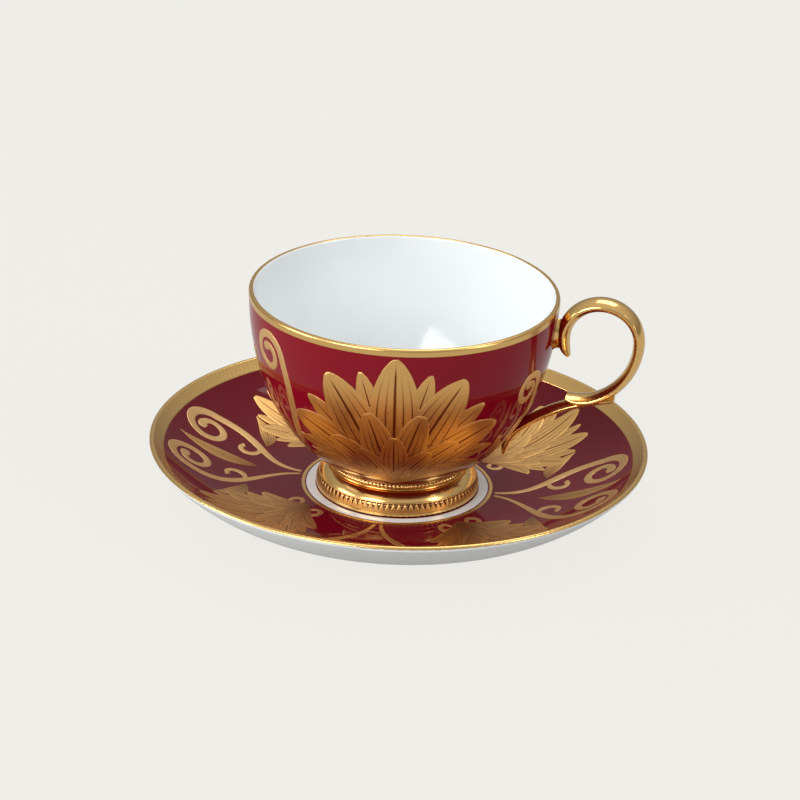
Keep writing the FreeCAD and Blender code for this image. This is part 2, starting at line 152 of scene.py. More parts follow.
# Where each mark of the graver, and the painted reflection on the base, starts to show and where it is
# full: on the cosine of the lines' turns, across from the middle at 0 to an edge at 1, or along from
# the base at 0 to the tip at 1.
LINE_ON_WAVE, LINE_ACROSS, LINE_ALONG = (0.80, 0.97), (0.98, 0.84), (0.92, 0.66)
MIDRIB_ACROSS, MIDRIB_ALONG = (0.075, 0.035), (0.97, 0.90)
EDGE_ACROSS = (0.95, 0.985)
# Painted reflection: a petal's or leaf's colour darkens towards its base. These give where it starts along
# and how dark it is at the base.
PAINTED_REFLECTION_ALONG, PAINTED_REFLECTION_DEPTH = (0.62, 0.0), 0.80
DOT_FROM_MIDDLE, DOT_ACROSS = (0.20, 0.13), (0.7, 0.6)
DOTS_FROM_ALONG, DOTS_TO_ALONG = (0.30, 0.38), (0.72, 0.62)
DOTS_PER_METRE = 700.0


def engraving_and_painted_reflection():
    """Marks of a graver on a petal or leaf, 0 to 1, from its own two measures: across runs from -1 to
    1 between its edges, along from 0 to 1 from its base. Lines run its length at even shares of its
    width and fade before the tip; a midrib, an edge and small dots are added. The Mark also holds a
    painted reflection that darkens the colour towards the base; the Height holds only the cuts."""
    group, given, out = node_group("engraving_and_painted_reflection", (("Lines", 3.0),), ("Mark", "Height"))

    def measure(name):
        node = group.nodes.new("ShaderNodeAttribute")
        node.attribute_name = name
        return node.outputs["Fac"]

    def ramp(value, ends):
        node = group.nodes.new("ShaderNodeMapRange")
        node.inputs["From Min"].default_value, node.inputs["From Max"].default_value = ends
        group.links.new(value, node.inputs["Value"])
        return node.outputs["Result"]

    def product(first, *others):
        for other in others:
            first = reckon(group, "MULTIPLY", first, other)
        return first

    def deepest(first, *others):
        for other in others:
            first = reckon(group, "MAXIMUM", first, other)
        return first

    across, along = measure("across"), measure("along")
    side = reckon(group, "ABSOLUTE", across)
    wave = reckon(group, "COSINE", product(across, given.outputs["Lines"], TURN))
    lines = product(ramp(wave, LINE_ON_WAVE), ramp(along, LINE_ALONG), ramp(side, LINE_ACROSS))
    midrib = product(ramp(side, MIDRIB_ACROSS), ramp(along, MIDRIB_ALONG))
    place = group.nodes.new("ShaderNodeTexCoord")
    cells = group.nodes.new("ShaderNodeTexVoronoi")
    cells.inputs["Scale"].default_value = DOTS_PER_METRE
    group.links.new(place.outputs["Object"], cells.inputs["Vector"])
    dots = product(ramp(cells.outputs["Distance"], DOT_FROM_MIDDLE), ramp(side, DOT_ACROSS),
                   ramp(along, DOTS_FROM_ALONG), ramp(along, DOTS_TO_ALONG))
    cut = deepest(lines, midrib, ramp(side, EDGE_ACROSS), dots)
    # Painted reflection, not a cut: the colour darkens towards the base, and the bump leaves it out.
    painted_reflection_base = product(ramp(along, PAINTED_REFLECTION_ALONG), PAINTED_REFLECTION_DEPTH)
    group.links.new(deepest(cut, painted_reflection_base), out.inputs["Mark"])
    group.links.new(reckon(group, "SUBTRACT", 1.0, cut), out.inputs["Height"])
    return group


WANDER = surface_wander()
ENGRAVING_AND_PAINTED_REFLECTION = engraving_and_painted_reflection()
RIBS = fine_ribs()


# ---------------------------------------------------------------- materials
def finish(name, base, low, high, scale=60.0, metallic=0.0, ripple=0.0, ribbed=0.0, engraved=0.0,
           cut_colour=None, **more):
    """A material whose roughness wanders from low to high, at a scale. Ripple, ribbed or engraved is the
    height in millimetres of its soft waves, its fine ribs or its graver's cuts; a finish has one of them
    at most. The cut colour lies where the graver's marks say, and on a petal's base as a painted
    reflection, or else where the mesh's own measure "line" does. More are other sockets of the shader,
    with _ for a space."""
    material = bpy.data.materials.new(name)
    material.use_nodes = True
    nodes, links = material.node_tree.nodes, material.node_tree.links
    principled = nodes["Principled BSDF"]
    principled.inputs["Base Color"].default_value = base
    principled.inputs["Metallic"].default_value = metallic
    for socket, value in more.items():
        principled.inputs[socket.replace("_", " ")].default_value = value

    def placed(group, **values):
        node = nodes.new("ShaderNodeGroup")
        node.node_tree = group
        for label, value in values.items():
            node.inputs[label].default_value = value
        return node

    def raise_by(height, amount):
        bump = nodes.new("ShaderNodeBump")
        bump.inputs["Strength"].default_value = 1.0
        bump.inputs["Distance"].default_value = amount * MM
        links.new(height, bump.inputs["Height"])
        links.new(bump.outputs["Normal"], principled.inputs["Normal"])

    wander = placed(WANDER, Scale=scale, Low=low, High=high)
    links.new(wander.outputs["Roughness"], principled.inputs["Roughness"])
    if ripple:
        raise_by(wander.outputs["Height"], ripple)
    if ribbed:
        raise_by(placed(RIBS).outputs["Height"], ribbed)
    if engraved:
        graver = placed(ENGRAVING_AND_PAINTED_REFLECTION)
        raise_by(graver.outputs["Height"], engraved)
    # On an engraved finish the mark holds the graver's cuts and also the painted reflection that darkens a
    # petal's base.
    if cut_colour:
        if engraved:
            mark = graver.outputs["Mark"]
        else:
            measure = nodes.new("ShaderNodeAttribute")
            measure.attribute_name = "line"
            mark = measure.outputs["Fac"]
        blend = nodes.new("ShaderNodeMix")
        blend.data_type = "RGBA"
        blend.inputs["A"].default_value = base
        blend.inputs["B"].default_value = cut_colour
        links.new(mark, blend.inputs["Factor"])
        links.new(blend.outputs["Result"], principled.inputs["Base Color"])
    return material


GLAZE = {"low": 0.04, "high": 0.07, "ripple": 0.004, "IOR": 1.5, "Specular_IOR_Level": 0.18}
BRIGHT_GOLD_COLOUR, BAND_GOLD_COLOUR = (0.80, 0.50, 0.18, 1), (0.76, 0.48, 0.17, 1)

WHITE_CHINA = finish("white_china", (0.80, 0.825, 0.83, 1), 0.08, 0.12, IOR=1.5)
RED_GLAZE = finish("red_glaze", (0.225, 0.003, 0.012, 1), **GLAZE)
SAUCER_RED = finish("saucer_red_glaze", (0.145, 0.003, 0.010, 1), **GLAZE)
BURNISHED_GOLD = finish("burnished_gold", BRIGHT_GOLD_COLOUR, 0.15, 0.20, scale=90.0, metallic=1.0,
                        ripple=0.006)
BAND_GOLD = finish("band_gold", BAND_GOLD_COLOUR, 0.22, 0.27, scale=120.0, metallic=1.0, ripple=0.002)
RIBBED_GOLD = finish("ribbed_gold", BAND_GOLD_COLOUR, 0.24, 0.30, scale=120.0, metallic=1.0, ribbed=0.007)
# Etched gold: its cut colour also paints a darker reflection on each petal's and leaf's base.
ETCHED_GOLD = finish("etched_gold", (0.78, 0.45, 0.155, 1), 0.30, 0.42, scale=900.0, metallic=1.0,
                     engraved=0.02, cut_colour=(0.20, 0.045, 0.015, 1))
STAMPED_GOLD = finish("stamped_gold", BRIGHT_GOLD_COLOUR, 0.28, 0.36, scale=900.0, metallic=1.0,
                      cut_colour=(0.13, 0.03, 0.012, 1))
MATT_GOLD = finish("matt_gold", (0.78, 0.49, 0.21, 1), 0.42, 0.50, scale=900.0, metallic=1.0, ripple=0.004)


def lay_finishes(node, finishes, chooser):
    """Gives each face of a node the finish that the chooser picks by its number, from the radius and
    height of the face's middle and from the upward part of its normal."""
    mesh = node.data
    count = len(mesh.polygons)
    middles, normals = np.empty(count * 3, np.float32), np.empty(count * 3, np.float32)
    mesh.polygons.foreach_get("center", middles)
    mesh.polygons.foreach_get("normal", normals)
    middles = middles.reshape(-1, 3) / MM
    chosen = chooser(np.hypot(middles[:, 0], middles[:, 1]), middles[:, 2], normals.reshape(-1, 3)[:, 2])
    mesh.materials.clear()
    for material in finishes:
        mesh.materials.append(material)
    mesh.polygons.foreach_set("material_index", chosen.astype(np.int32))
    mesh.update()


CHINA, RED, GOLD = 0, 1, 2
# How far a flat face's middle may lie from the round surface it stands for, on the wall, over the lip's
# middle line, and at the neck's height.
WALL_SLACK, LIP_SLACK, NECK_SLACK = 0.07, 0.15, 0.05
FACES_UP = 0.3  # least upward part of the normal of a face that counts as the saucer's top


def cup_finish(radius, height, facing_up):
    """Gold handle and foot; red wall outside; white china inside, on the lip's inner half and in the
    foot's hollow."""
    over_foot = height - SEAT_HEIGHT
    outer = bowl_wall(np.clip(over_foot, NECK_HEIGHT, None))[0]
    bowl = over_foot > NECK_HEIGHT - NECK_SLACK
    inside = bowl & (radius < outer - WALL * 0.6)
    handle = bowl & (radius > outer + WALL_SLACK)
    lip = (height > CUP_TOP - WALL / 2) & (radius < RIM_RADIUS - WALL / 2 + LIP_SLACK)
    hollow = ~bowl & (radius < HOLLOW_RADIUS) & (over_foot < HOLLOW_HEIGHT)
    chosen = np.where(inside | hollow, CHINA, np.where(handle | ~bowl, GOLD, RED))
    return np.where(lip, CHINA, chosen)


def saucer_finish(radius, height, facing_up):
    """Red above as far as the lip, white below."""
    within = radius < LIP_MIDDLE_RADIUS - 0.2
    top = (facing_up > FACES_UP) & (height > SEAT_HEIGHT - 0.1) & within
    return np.where(top, RED, CHINA)


lay_finishes(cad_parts["teacup"], (WHITE_CHINA, RED_GLAZE, BURNISHED_GOLD), cup_finish)
lay_finishes(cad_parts["saucer"], (WHITE_CHINA, SAUCER_RED), saucer_finish)


# ---------------------------------------------------------------- meshes from grids
def grid_faces(rows, columns, wrap_rows=False, wrap_columns=False):
    """Corner numbers of the quads of a grid of points, as an array of fours."""
    row = np.arange(rows if wrap_rows else rows - 1)[:, None]
    column = np.arange(columns if wrap_columns else columns - 1)[None, :]
    next_row, next_column = (row + 1) % rows, (column + 1) % columns
    corners = (row * columns + column, row * columns + next_column,
               next_row * columns + next_column, next_row * columns + column)
    return np.stack([np.broadcast_to(c, (row.size, column.size)).ravel() for c in corners], 1)


def end_faces(start, count):
    """Quads that close the end of a tube of an even count of points, the first of which is at a start
    number: each joins two neighbours of the first half to the two points across from them."""
    near = np.arange(count // 2 - 1)
    return np.stack([near + 1, near, count - 1 - near, count - 2 - near], 1) + start


def face_outward(points, faces):
    """The faces, turned round if the volume they enclose comes out below zero."""
    corners = points[faces]
    sixths = np.cross(corners[:, 0], corners[:, 1]) * corners[:, 2]
    sixths += np.cross(corners[:, 0], corners[:, 2]) * corners[:, 3]
    return faces if sixths.sum() > 0 else faces[:, ::-1]


def piece(name, grids, material, measures=("line",)):
    """One smooth mesh of many grids: each is (points in millimetres, faces, values of its measures)."""
    flats = [points.reshape(-1, 3) for points, quads, values in grids]
    counts = [len(flat) for flat in flats]
    starts = np.cumsum([0] + counts[:-1])
    faces = np.concatenate([face_outward(flat, quads) + start
                            for flat, (points, quads, values), start in zip(flats, grids, starts)])
    places = np.concatenate(flats) * MM
    mesh = bpy.data.meshes.new(name)
    mesh.vertices.add(len(places))
    mesh.vertices.foreach_set("co", places.astype(np.float32).ravel())
    mesh.loops.add(faces.size)
    mesh.loops.foreach_set("vertex_index", faces.astype(np.int32).ravel())
    mesh.polygons.add(len(faces))
    mesh.polygons.foreach_set("loop_start", np.arange(0, faces.size, 4, dtype=np.int32))
    mesh.polygons.foreach_set("use_smooth", np.ones(len(faces), bool))
    mesh.update(calc_edges=True)
    for number, measure in enumerate(measures):
        shares = [np.broadcast_to(values[number], (count,))
                  for (points, quads, values), count in zip(grids, counts)]
        stored = mesh.attributes.new(measure, "FLOAT", "POINT")
        stored.data.foreach_set("value", np.concatenate(shares).astype(np.float32))
    mesh.materials.append(material)
    thing = bpy.data.objects.new(name, mesh)
    bpy.context.scene.collection.objects.link(thing)
    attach(thing, "root")


def round_axis(reach, turn, height):
    """Points at distances from the axis, turned round it, at heights."""
    return np.stack([reach * np.cos(turn), reach * np.sin(turn), height + 0 * turn], -1)


# ---------------------------------------------------------------- the two surfaces that carry gold
WALL_HEIGHTS = np.linspace(NECK_HEIGHT, WIDE_ARC[1], 600)
WALL_STEPS = np.hypot(np.diff(WALL_HEIGHTS), np.diff(bowl_wall(WALL_HEIGHTS)[0]))
WALL_LENGTHS = np.concatenate([[0.0], np.cumsum(WALL_STEPS)])
WALL_LENGTH = WALL_LENGTHS[-1]


def on_wall(middle):
    """Gives the function that wraps a flat drawing round the cup. A drawing's point is millimetres
    across and millimetres up the wall from its neck; lift is millimetres out from the wall."""
    def wrap(across, up, lift):
        height = np.interp(up, WALL_LENGTHS, WALL_HEIGHTS)
        radius, out, rise = bowl_wall(height)
        turn = math.radians(middle) + across / radius
        return round_axis(radius + lift * out, turn, SEAT_HEIGHT + height + lift * rise)
    return wrap


DISH_SPAN = LIP_MIDDLE_RADIUS - SEAT_RADIUS
DISH_RISE = LIP_MIDDLE_HEIGHT - SEAT_HEIGHT
DISH_BEND = (DISH_SPAN**2 + DISH_RISE**2 - SAUCER_LIP**2) / (2 * (DISH_RISE + SAUCER_LIP))


def dish_height(radius):
    """Height of the saucer's upper face: flat seat, then one arc that starts level."""
    past = np.clip(radius - SEAT_RADIUS, 0, None)
    return SEAT_HEIGHT + DISH_BEND - np.sqrt(DISH_BEND**2 - past**2)


def on_dish(middle):
    """Gives the function that lays a flat drawing on the saucer: millimetres across and millimetres
    from the axis, seen from above; lift is millimetres out from the glaze."""
    def lay(across, outward, lift):
        radius = np.hypot(across, outward)
        turn = math.radians(middle) + np.arctan2(across, outward)
        slope = np.clip(radius - SEAT_RADIUS, 0, None) / DISH_BEND
        return round_axis(radius - lift * slope, turn, dish_height(radius) + lift * np.sqrt(1 - slope**2))
    return lay


# ---------------------------------------------------------------- bands turned round the axis
SKIN_PROUD, SKIN_SUNK = 0.08, 0.12  # how far a gold skin stands out of the glaze and goes into it
CUP_BAND_DEPTH, CUP_LIP_TURN = 1.5, 128  # down the wall, and degrees over the lip
SAUCER_BAND_RADIUS, SAUCER_LIP_TURNS = 72.4, (132, 8)  # its inner edge, and degrees over the lip
# Rings round the cup's foot: name, inner radius, outer radius, height over the seat, finish.
SEAT_RINGS = (
    ("seat_white_ring", 25.05, 28.6, 0.03, WHITE_CHINA),
    ("seat_gold_line", 28.6, 29.8, 0.06, BAND_GOLD),
)
COLLAR_BEND, COLLAR_DROP, COLLAR_SUNK = 0.55, 0.2, 0.35
COLLAR_RIBS, COLLAR_RIB_HEIGHT, STEPS_PER_RIB = 110, 0.09, 12
# The stamped band round the foot: its leaves, its place in degrees up the dome, how deep its skin is, and
# the shares of its height where darts start, widen fully and end, where a leaf's dot is and where the
# two ridges are.
LEAVES = 88
LEAF_BAND_START, LEAF_BAND_SPAN, LEAF_BAND_SUNK = 2.0, 30.0, 0.4
DART_START, DART_SPAN, DART_END, DART_STEEPNESS = 0.18, 0.62, 0.84, 5
DOT_PLACE, DOT_HEIGHT, DOT_SPREAD, DOT_SIZE = 0.72, 0.010, 0.10, 0.6
UPPER_RIDGE, LOWER_RIDGE = (0.95, 0.05), (0.06, 0.06)
LEAF_BASE, LEAF_DEPTH, LEAF_LEVEL = 0.05, 0.10, 0.4


def ring(path, steps=360, ripple=None):
    """A thin closed ring: a path of (radius, height) turned round the axis and closed on itself. Ripple
    moves each point outward by a function of its turn."""
    path = np.asarray(path, float)
    turn = np.linspace(0, TURN, steps, endpoint=False)[:, None]
    radius, height = path[None, :, 0], path[None, :, 1]
    if ripple:
        radius = ripple(turn, radius)
    points = round_axis(radius + 0 * turn, turn + 0 * radius, height)
    return points, grid_faces(steps, path.shape[0], True, True), (0.0,)


def bell(value, middle, width):
    """One at a middle, and less to both sides: e to the minus square of the distance in widths."""
    return np.exp(-(((value - middle) / width) ** 2))


def skin(line, normals, proud, sunk):
    """A closed path round a thin skin: out along a line of surface at a small height, back under it."""
    line, normals = np.asarray(line, float), np.asarray(normals, float)
    lift = np.full(len(line), proud)
    lift[0] = lift[-1] = -sunk / 2
    over, under = line + normals * lift[:, None], (line - normals * sunk)[::-1]
    return np.concatenate([over, under])


def wall_line(low, high, count):
    """Points and outward normals of the cup's outer wall between two lengths up from the neck."""
    height = np.interp(np.linspace(low, high, count), WALL_LENGTHS, WALL_HEIGHTS)
    radius, out, rise = bowl_wall(height)
    return np.stack([radius, SEAT_HEIGHT + height], 1), np.stack([out, rise], 1)


def round_line(centre, radius, first, last, count):
    """Points and outward normals of an arc, its angles in degrees."""
    angle = np.radians(np.linspace(first, last, count))
    normal = np.stack([np.cos(angle), np.sin(angle)], 1)
    return np.asarray(centre) + normal * radius, normal


def gold_bands():
    """The cup's rim band over its lip, and the saucer's rim band over its lip."""
    wall, wall_normal = wall_line(WALL_LENGTH - CUP_BAND_DEPTH, WALL_LENGTH, 12)
    centre = (RIM_RADIUS - WALL / 2, CUP_TOP - WALL / 2)
    lip, lip_normal = round_line(centre, WALL / 2, 0, CUP_LIP_TURN, 20)
    path = skin(np.concatenate([wall, lip[1:]]), np.concatenate([wall_normal, lip_normal[1:]]),
                SKIN_PROUD, SKIN_SUNK)
    piece("cup_rim_band", [ring(path)], BAND_GOLD)

    radius = np.linspace(SAUCER_BAND_RADIUS, LIP_MIDDLE_RADIUS - 0.6, 14)
    slope = (radius - SEAT_RADIUS) / DISH_BEND
    dish = np.stack([radius, dish_height(radius)], 1)
    dish_normal = np.stack([-slope, np.sqrt(1 - slope**2)], 1)
    lip, lip_normal = round_line((LIP_MIDDLE_RADIUS, LIP_MIDDLE_HEIGHT), SAUCER_LIP, *SAUCER_LIP_TURNS, 16)
    path = skin(np.concatenate([dish, lip]), np.concatenate([dish_normal, lip_normal]),
                SKIN_PROUD, SKIN_SUNK)
    piece("saucer_rim_band", [ring(path)], RIBBED_GOLD)


def foot_rings():
    """A white ring of bare china round the cup's foot, and a gold line round that."""
    for name, inner, outer, proud, material in SEAT_RINGS:
        radius = np.linspace(inner, outer, 8)
        line = np.stack([radius, np.full(8, SEAT_HEIGHT)], 1)
        upright = np.tile([0.0, 1.0], (8, 1))
        piece(name, [ring(skin(line, upright, proud, SKIN_SUNK))], material)


def neck_ribs():
    """A thin ribbed collar where the bowl stands on its foot: an arc turned round the axis, its outer
    points moved by the cosine of the ribs' count of turns."""
    centre = (NECK_RADIUS, SEAT_HEIGHT + NECK_HEIGHT - COLLAR_DROP)
    line, normal = round_line(centre, COLLAR_BEND, -80, 80, 11)
    path = skin(line, normal, 0.0, COLLAR_SUNK)

    def ribs(turn, radius):
        proud = radius > NECK_RADIUS + 0.3
        return radius + COLLAR_RIB_HEIGHT * np.cos(COLLAR_RIBS * turn) * proud

    collar = ring(path, COLLAR_RIBS * STEPS_PER_RIB, ribs)
    piece("neck_ribbed_collar", [collar], BURNISHED_GOLD)


def foot_band():
    """The stamped band of leaves and darts round the foot's dome, over one thin skin. A point is a share
    up the band, and aside from its dart's middle, 0, to its leaf's, 1. A dart is cut in where up, less a
    start, is more than aside, so that leaves stand in points between the darts; a dot, a bell round a
    place near the point, lies on each leaf, and a ridge, a bell round a height, runs along each edge."""
    rows, columns = 18, 12
    up = np.linspace(0, 1, rows)[:, None]
    share = np.linspace(0, 1, LEAVES * columns, endpoint=False)[None, :]
    aside = np.abs((share * LEAVES) % 1 - 0.5) * 2
    dart = np.clip(((up - DART_START) / DART_SPAN - aside) * DART_STEEPNESS, 0, 1) * (up < DART_END)
    dot = np.exp(-(((aside - 1) ** 2) / DOT_SPREAD + (up - DOT_PLACE) ** 2 / DOT_HEIGHT))
    ridge = bell(up, *UPPER_RIDGE) + bell(up, *LOWER_RIDGE)
    raised = np.clip(ridge + DOT_SIZE * dot + LEAF_LEVEL, 0, 1)
    lift = LEAF_BASE + LEAF_DEPTH * raised - LEAF_DEPTH * dart
    lift[0, :] = lift[-1, :] = -LEAF_BASE
    angle = np.radians(LEAF_BAND_START + LEAF_BAND_SPAN * up)
    reach = FOOT_RADIUS - DOME_BEND + (DOME_BEND + lift) * np.cos(angle)
    height = SEAT_HEIGHT + FOOT_EDGE + (DOME_BEND + lift) * np.sin(angle)
    over, under = (round_axis(reach - depth, TURN * share, height) for depth in (0.0, LEAF_BAND_SUNK))
    points = np.concatenate([over, under[[-1, 0]]]).transpose(1, 0, 2)
    marks = np.concatenate([dart + 0 * share, np.zeros((2, LEAVES * columns))]).T
    quads = grid_faces(LEAVES * columns, rows + 2, True, True)
    piece("foot_leaf_band", [(points, quads, (marks.ravel(),))], STAMPED_GOLD)


# ---------------------------------------------------------------- drawn gold: petals, leaves, tendrils
SHARES = np.linspace(0, 1, 120)  # the points of a stem or a curl, as shares of its length
LEAST_LIFT, RELIEF_EDGE, RELIEF_UNDERSIDE = 0.03, -0.06, -0.12  # over the glaze, and under it
LEAST_WIDTH = 0.02  # keeps a tendril's end from closing on one point
# Where along it a leaf or a petal is widest, and the power by which it widens.
LEAF_SHAPE, PETAL_SHAPE = (0.48, 1.1), (0.60, 1.0)
# A petal's side points: shares of how far its tip is aside, for its base and its bow, and of its length.
PETAL_BASE_ASIDE, PETAL_BOW_ASIDE, PETAL_BOW_ALONG = 0.04, 0.30, 0.52
# A tendril's half width: the share it starts with and the share of length over which it grows, what it
# loses over its last half, its bulb's size, place and width, and the share of length that closes it.
TENDRIL_START, TENDRIL_GROWTH, TENDRIL_LOSS = 0.35, 0.3, 0.35
BULB_SIZE, BULB_PLACE, BULB_WIDTH, TENDRIL_END = 0.6, 0.96, 0.035, 0.03


def bend_line(corners, share):
    """A smooth line pulled towards its corners (a Bernstein sum), at shares of its length."""
    corners = np.asarray(corners, float)
    degree = len(corners) - 1
    weights = [math.comb(degree, k) * share**k * (1 - share) ** (degree - k) for k in range(degree + 1)]
    return sum(weight[:, None] * corner for weight, corner in zip(weights, corners))


def curl_line(centre, radii, angles):
    """A spiral whose radius and angle (degrees) change evenly from first to last."""
    radius = radii[0] + (radii[1] - radii[0]) * SHARES
    angle = np.radians(angles[0] + (angles[1] - angles[0]) * SHARES)
    return np.stack([centre[0] + radius * np.cos(angle), centre[1] + radius * np.sin(angle)], 1)


def hook_line(stem, at, radii, sweep):
    """A curl that leaves a stem on its right side at a share of its length, in the stem's direction."""
    number = int(at * (len(stem) - 1))
    heading = stem[number + 1] - stem[number]
    heading = heading / np.linalg.norm(heading)
    right = np.array([heading[1], -heading[0]])
    start = math.degrees(math.atan2(-right[1], -right[0]))
    return curl_line(stem[number] + right * radii[0], radii, (start, start - sweep))


def relief(place, line, half_width, lift, columns, crown=0.06):
    """A raised shape along a drawn line. Across it, t runs from -1 to 1, and its height is a crown
    times the root of 1 - t squared, less where it is under a quarter of its widest; its edges go into
    the glaze, and an underside and two ends close it."""
    heading = np.gradient(line, axis=0)
    heading /= np.linalg.norm(heading, axis=1, keepdims=True) + 1e-9
    side = np.stack([heading[:, 1], -heading[:, 0]], 1)
    t = np.sin(np.linspace(-math.pi / 2, math.pi / 2, columns))[None, :]
    flat = line[:, None, :] + side[:, None, :] * (half_width[:, None] * t)[:, :, None]
    quarter = 0.25 * half_width.max()
    full = np.clip(half_width / quarter, 0, 1)[:, None]
    height = lift + crown * np.sqrt(np.clip(1 - t**2, 0, 1)) * full
    height[:, [0, -1]] = height[[0, -1], :] = RELIEF_EDGE
    over = place(flat[..., 0], flat[..., 1], height)
    edges = flat[:, [-1, 0]]
    under = place(edges[..., 0], edges[..., 1], np.full(edges.shape[:2], RELIEF_UNDERSIDE))
    rows, around = len(line), columns + 2
    across = np.broadcast_to(np.concatenate([t[0], [1.0, -1.0]]), (rows, around)).ravel()
    along = np.repeat(np.linspace(0, 1, rows), around)
    faces = np.concatenate([
        grid_faces(rows, around, False, True),
        end_faces(0, around),
        end_faces((rows - 1) * around, around)[:, ::-1],
    ])
    return np.concatenate([over, under], 1), faces, (across, along)


def leaf_width(widest, shape, share):
    """Half the width of a leaf: rises as a power of the share to its widest place, and falls to a tip."""
    where, power = shape
    fall = power * (1 - where) / where
    share = np.clip(share, 0.002, 0.998)
    return widest * (share / where) ** power * ((1 - share) / (1 - where)) ** fall


def leaf(place, corners, widest, lift, shape=LEAF_SHAPE):
    """A leaf or petal on a smooth line."""
    share = np.linspace(0, 1, 48)
    width = leaf_width(widest, shape, share)
    return relief(place, bend_line(corners, share), width, lift + LEAST_LIFT, columns=14)


def fan(place, base, rows):
    """Petals that fan from one base, back row first. Each row is (lift, degrees between petals, whether
    one stands upright, lengths and half widths from the middle out); they bow outward a little."""
    grids = []
    for lift, spread, upright, petals in rows:
        for number in reversed(range(len(petals))):
            length, widest = petals[number]
            step = number if upright else number + 0.5
            for sign in (1, -1) if step else (1,):
                turn = math.radians(spread * step) * sign
                tip = (length * math.sin(turn), base + length * math.cos(turn))
                bow = (PETAL_BOW_ASIDE * tip[0], base + length * PETAL_BOW_ALONG)
                corners = ((PETAL_BASE_ASIDE * tip[0], base), bow, tip)
                grids.append(leaf(place, corners, widest, lift, PETAL_SHAPE))
    return grids


def tendril(place, line, wide):
    """A flat round-edged strip: its half width grows over its first part, shrinks over its last half,
    swells to a small bulb by a bell near its end, and closes as the root of what is left."""
    share = np.linspace(0, 1, len(line))
    width = wide * (TENDRIL_START + (1 - TENDRIL_START) * np.clip(share / TENDRIL_GROWTH, 0, 1))
    width = width * (1 - TENDRIL_LOSS * np.clip((share - 0.5) / 0.5, 0, 1))
    width = width * (1 + BULB_SIZE * bell(share, BULB_PLACE, BULB_WIDTH))
    width = width * np.sqrt(np.clip((1 - share) / TENDRIL_END, 0, 1)) + LEAST_WIDTH
    return relief(place, line, width, LEAST_LIFT, crown=0.05, columns=10)


CUP_FAN = (
    (0.00, 24, False, ((52, 4.4), (48, 4.2), (38, 3.8))),
    (0.04, 24, True, ((56, 8.0), (53, 7.6), (45, 6.6), (30, 4.8))),
    (0.08, 26, False, ((38, 5.2), (32, 4.8), (23, 3.8))),
    (0.12, 28, True, ((28, 4.4), (24, 3.9), (17, 3.0))),
    (0.16, 34, False, ((14, 2.6), (11, 2.2))),
)
BUD_FAN = ((0.00, 26, True, ((34, 4.6), (30, 4.2))), (0.08, 30, False, ((20, 3.2),)))
SAUCER_FAN = (
    (0.00, 21, False, ((35, 2.6), (30, 2.5), (21, 2.2))),
    (0.04, 21, True, ((38, 4.6), (35, 4.4), (27, 3.8), (17, 2.6))),
    (0.08, 26, False, ((24, 3.0), (19, 2.6))),
    (0.12, 28, True, ((17, 2.4), (14, 2.0))),
)
# Scrolls on the cup: middle in degrees, side, millimetres aside, size.
CUP_SCROLLS = (
    (188.0, 1, 10.0, 1.0), (188.0, -1, 10.0, 1.0), (30.0, -1, -8.0, 0.82), (-30.0, 1, -8.0, 0.82)
)


def cup_art():
    """A palmette of petals on the cup's front and back, a lyre of scrolls with a bud on the side away
    from the handle, and one scroll on each side of the handle."""
    blooms, stems = [], []
    for middle in (-82.0, 98.0):
        blooms += fan(on_wall(middle), 6.0, CUP_FAN)
    blooms += fan(on_wall(188.0), 22.0, BUD_FAN)
    for middle, sign, aside, size in CUP_SCROLLS:
        place = on_wall(middle)
        flip, shift = np.array([sign * size, size]), np.array([aside, 0.0])
        stem = bend_line(((1.5 - 0.5 * aside, 5), (9, 16), (27, 31), (24, 52)), SHARES)
        curl = curl_line((16.8, 52.5), (7.2, 1.7), (0, 520))
        hook = hook_line(stem, 0.5, (4.4, 1.6), 280)
        scroll = np.concatenate([stem, curl])
        stems.append(tendril(place, (scroll + shift) * flip, 1.4))
        stems.append(tendril(place, (hook + shift) * flip, 1.0))
        sprig = (np.array([(11, 14), (12, 24), (7, 35)]) + shift) * flip
        blooms.append(leaf(place, sprig, 2.6, 0.0))
    piece("cup_petals", blooms, ETCHED_GOLD, ("across", "along"))
    piece("cup_tendrils", stems, MATT_GOLD, ("across", "along"))


def saucer_art():
    """Four palmettes that open towards the saucer's rim, and between them paired scrolls with leaves."""
    blooms, stems = [], []
    sides = (np.array([1.0, 1.0]), np.array([-1.0, 1.0]))
    for middle in (45.0, 135.0, 225.0, 315.0):
        place = on_dish(middle)
        blooms += fan(place, 32.0, SAUCER_FAN)
        for flip in sides:
            stems.append(tendril(place, curl_line((4.4, 33.6), (3.4, 1.1), (180, -190)) * flip, 0.8))
    for middle in (0.0, 90.0, 180.0, 270.0):
        place = on_dish(middle)
        stem = bend_line(((1, 30.5), (3, 45), (21, 46), (18.5, 62)), SHARES)
        curl = curl_line((11.3, 62.6), (7.2, 1.9), (0, 500))
        hook = hook_line(stem[::-1], 0.45, (4.2, 1.6), 270)
        scroll = np.concatenate([stem, curl])
        for flip in sides:
            stems += [tendril(place, scroll * flip, 1.45), tendril(place, hook * flip, 1.0)]
            sprig = np.array([(14, 45), (22, 44), (29, 52)]) * flip
            blooms.append(leaf(place, sprig, 2.5, 0.0))
        blooms.append(leaf(place, ((0, 44), (0, 56), (0, 70)), 2.9, 0.0))
    piece("saucer_petals", blooms, ETCHED_GOLD, ("across", "along"))
    piece("saucer_tendrils", stems, MATT_GOLD, ("across", "along"))


gold_bands()
foot_rings()
foot_band()
neck_ribs()
cup_art()
saucer_art()


# ---------------------------------------------------------------- floor, light and camera, in metres
BACKGROUND = (0.898, 0.889, 0.848, 1.0)
# How much of the background's colour the floor gives back to each kind of ray.
GLOW_SHARES = (("Is Camera Ray", 0.9), ("Is Glossy Ray", 0.4), ("Is Transmission Ray", 0.9))
FLOOR_REACH = 6.0
LAMP_TARGET = (0, 0, 0.05)


